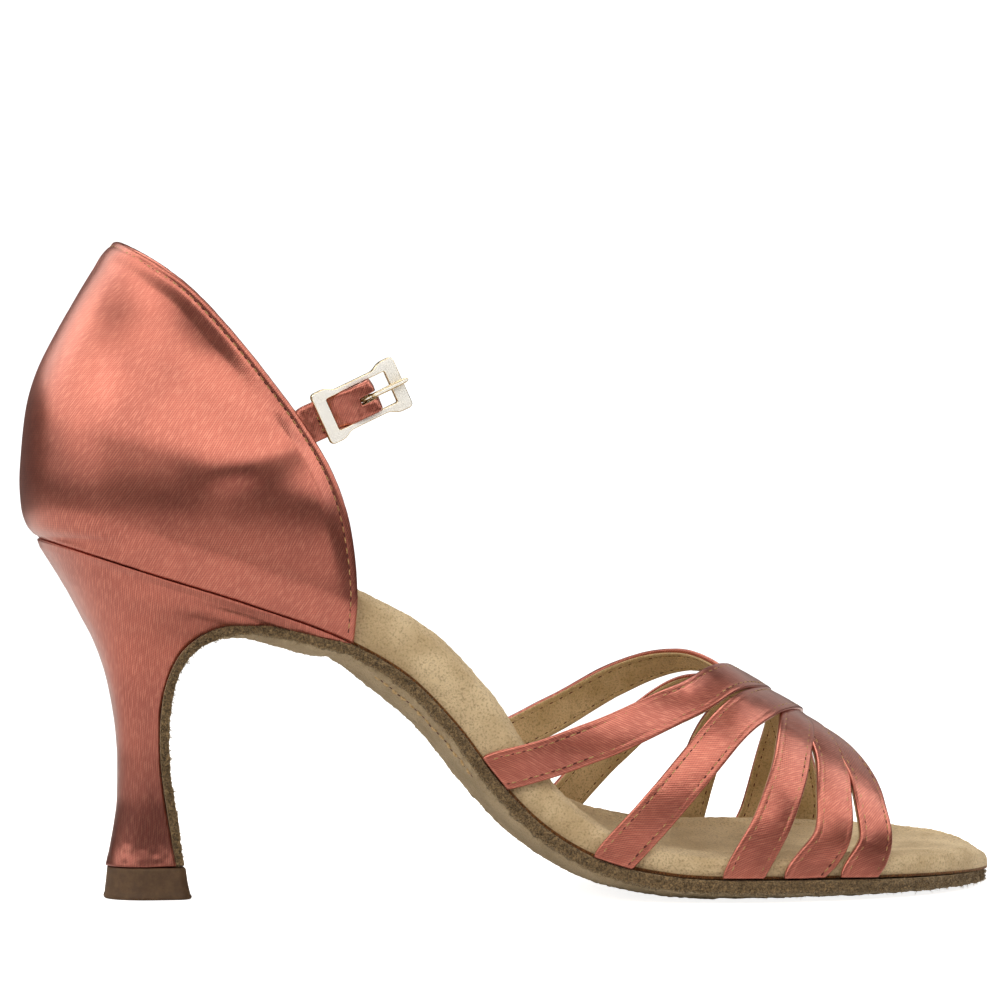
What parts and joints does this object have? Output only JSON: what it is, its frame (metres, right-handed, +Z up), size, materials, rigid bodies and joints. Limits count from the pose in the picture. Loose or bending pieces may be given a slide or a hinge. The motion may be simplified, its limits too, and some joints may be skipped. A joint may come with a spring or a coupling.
{
  "type": "latin dance shoe",
  "caption": "Right latin dance shoe: high closed counter, open toe of narrow satin straps crossing in a knot, slim flared heel, padded suede insole, open pin buckle on the outer quarter.",
  "frame": {"origin": "centre of the heel top piece's underside, on the floor", "axes": "+X from heel to toe, +Y towards the inner (medial) side of this right shoe, +Z up"},
  "size_m": [0.2329, 0.0802, 0.1544],
  "materials": {
    "satin": "smooth satin over stiffener",
    "insole_suede": "suede",
    "sole_suede": "brushed split suede",
    "top_piece": "matt",
    "pale_gold": "polished, pale plating"
  },
  "bodies": {
    "shoe": {"outsole": "sole_suede", "insole": "insole_suede", "heel": "satin", "heel_top_piece": "top_piece", "heel_counter": "satin", "vamp_straps": "satin", "buckle_tab": "satin", "buckle_frame": "pale_gold"},
    "prong": {"buckle_prong": "pale_gold"}
  },
  "joints": [
    {"name": "buckle_prong_hinge", "type": "hinge", "parent": "shoe", "child": "prong", "pos_m": [0.04906, -0.02142, 0.11739], "axis": [0.4185, 0.0588, -0.9063], "range_deg": [0, 110]}
  ]
}
